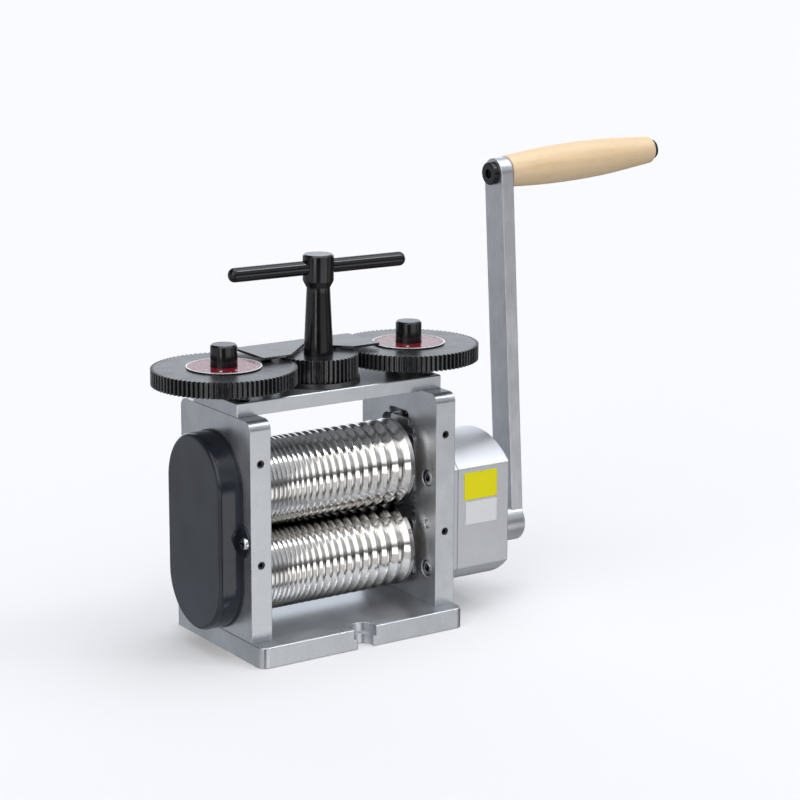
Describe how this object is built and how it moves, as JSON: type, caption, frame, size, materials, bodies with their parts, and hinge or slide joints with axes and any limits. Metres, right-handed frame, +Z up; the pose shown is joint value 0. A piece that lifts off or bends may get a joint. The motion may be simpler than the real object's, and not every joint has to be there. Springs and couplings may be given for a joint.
{
  "type": "jewellers rolling mill",
  "caption": "Hand cranked bench rolling mill: two V-grooved wire rolls in a plate frame, geared screwdown with dials and T-handle, side gearbox with long crank.",
  "frame": {"origin": "centre of the base plate's underside", "axes": "+X along the rolls towards the crank, -Y the operator's side, +Z up"},
  "size_m": [0.3805, 0.108, 0.2981],
  "materials": {
    "ground_steel": "ground, satin",
    "ground_steel_dark": "ground, darker, oiled",
    "roll_steel": "hardened and polished",
    "plain_steel": "machined",
    "black_steel": "black oxide, glossy",
    "gear_black": "black oxide, satin",
    "black_sheet": "black oxide sheet, glossy",
    "cover_black": "black paint, satin",
    "silver_paint": "silver paint, satin",
    "crank_steel": "zinc plated, satin",
    "bronze": "machined bearing bronze",
    "maple": "turned light hardwood, clear coat",
    "dial_red": "red disc with plain white numbers",
    "yellow_foil": "plain foil, nothing printed",
    "white_foil": "plain foil, nothing printed"
  },
  "bodies": {
    "frame": {"base_plate": "ground_steel_dark", "right_side_plate": "ground_steel", "left_side_plate": "ground_steel", "top_plate": "ground_steel", "base_screws": "black_steel", "top_plate_screws": "black_steel", "gearbox_cap_screws": "black_steel", "oilway_grub_screws": "black_steel", "locating_dowels": "plain_steel", "left_lower_block": "plain_steel", "right_lower_block": "plain_steel", "lower_bushes": "bronze", "lower_thrust_washers": "bronze", "lift_springs": "plain_steel", "gear_cover": "cover_black", "gear_cover_screws": "plain_steel", "gearbox_flange": "silver_paint", "gearbox_housing": "silver_paint", "gearbox_bushes": "bronze", "gear_spacer_washers": "gear_black", "pinion_stud": "plain_steel", "pinion_retaining_ring": "black_steel", "index_plate": "black_sheet", "index_plate_pillars": "black_steel", "yellow_foil": "yellow_foil", "white_foil": "white_foil"},
    "carriage": {"left_upper_block": "plain_steel", "right_upper_block": "plain_steel", "upper_bushes": "bronze", "upper_thrust_washers": "bronze", "pressure_pads": "plain_steel"},
    "left_screw": {"left_pressure_screw": "black_steel", "left_screw_key": "plain_steel"},
    "right_screw": {"right_pressure_screw": "black_steel", "right_screw_key": "plain_steel"},
    "left_gear": {"left_screw_gear": "gear_black", "left_dial": "dial_red"},
    "right_gear": {"right_screw_gear": "gear_black", "right_dial": "dial_red"},
    "pinion": {"screwdown_pinion": "gear_black", "t_handle_column": "black_steel", "t_handle_bar": "black_steel"},
    "lower_roll": {"lower_roll": "roll_steel", "lower_coupling_gear": "plain_steel", "lower_shaft_keys": "plain_steel", "lower_shaft_rings": "black_steel", "output_gear": "plain_steel"},
    "upper_roll": {"upper_roll": "roll_steel", "upper_coupling_gear": "plain_steel", "upper_gear_key": "plain_steel", "upper_gear_ring": "black_steel"},
    "layshaft": {"layshaft": "plain_steel", "layshaft_wheel": "plain_steel"},
    "crank": {"input_shaft": "plain_steel", "crank_arm": "crank_steel", "crank_boss": "crank_steel", "crank_set_screw": "black_steel", "handle_bolt": "black_steel", "handle_end_nut": "black_steel"},
    "grip": {"handle_grip": "maple"}
  },
  "joints": [
    {"name": "screwdown", "type": "hinge", "parent": "frame", "child": "pinion", "pos_m": [0, 0, 0.17], "axis": [0, 0, -1], "range_deg": [0, 1980]},
    {"name": "left_gear_turn", "type": "hinge", "parent": "frame", "child": "left_gear", "pos_m": [-0.068, 0, 0.17], "axis": [0, 0, 1], "range_deg": [0, 1080]},
    {"name": "right_gear_turn", "type": "hinge", "parent": "frame", "child": "right_gear", "pos_m": [0.068, 0, 0.17], "axis": [0, 0, 1], "range_deg": [0, 1080]},
    {"name": "roll_lift", "type": "slide", "parent": "frame", "child": "carriage", "axis": [0, 0, 1], "range_m": [0, 0.0045], "deforming": ["lift_springs"]},
    {"name": "left_screw_turn", "type": "hinge", "parent": "carriage", "child": "left_screw", "pos_m": [-0.068, 0, 0.17], "axis": [0, 0, 1], "range_deg": [0, 1080]},
    {"name": "right_screw_turn", "type": "hinge", "parent": "carriage", "child": "right_screw", "pos_m": [0.068, 0, 0.17], "axis": [0, 0, 1], "range_deg": [0, 1080]},
    {"name": "crank_turn", "type": "hinge", "parent": "frame", "child": "crank", "pos_m": [0.12, 0, 0.0464], "axis": [1, 0, 0], "continuous": true},
    {"name": "layshaft_turn", "type": "hinge", "parent": "frame", "child": "layshaft", "pos_m": [0.1, 0, 0.08465], "axis": [1, 0, 0], "continuous": true},
    {"name": "lower_roll_turn", "type": "hinge", "parent": "frame", "child": "lower_roll", "pos_m": [0, 0, 0.0464], "axis": [1, 0, 0], "continuous": true},
    {"name": "upper_roll_turn", "type": "hinge", "parent": "carriage", "child": "upper_roll", "pos_m": [0, 0, 0.1015], "axis": [1, 0, 0], "continuous": true},
    {"name": "grip_spin", "type": "hinge", "parent": "crank", "child": "grip", "pos_m": [0.13339, 0, 0.28138], "axis": [0.9986, 0, 0.0523], "continuous": true}
  ],
  "couplings": [
    {"joint": "screwdown", "follows": "roll_lift", "rad_per_m": 7679.4},
    {"joint": "left_gear_turn", "follows": "roll_lift", "rad_per_m": 4188.8},
    {"joint": "right_gear_turn", "follows": "roll_lift", "rad_per_m": 4188.8},
    {"joint": "left_screw_turn", "follows": "roll_lift", "rad_per_m": 4188.8},
    {"joint": "right_screw_turn", "follows": "roll_lift", "rad_per_m": 4188.8},
    {"joint": "layshaft_turn", "follows": "crank_turn", "ratio": -0.5},
    {"joint": "lower_roll_turn", "follows": "crank_turn", "ratio": 0.25},
    {"joint": "upper_roll_turn", "follows": "crank_turn", "ratio": -0.25}
  ]
}
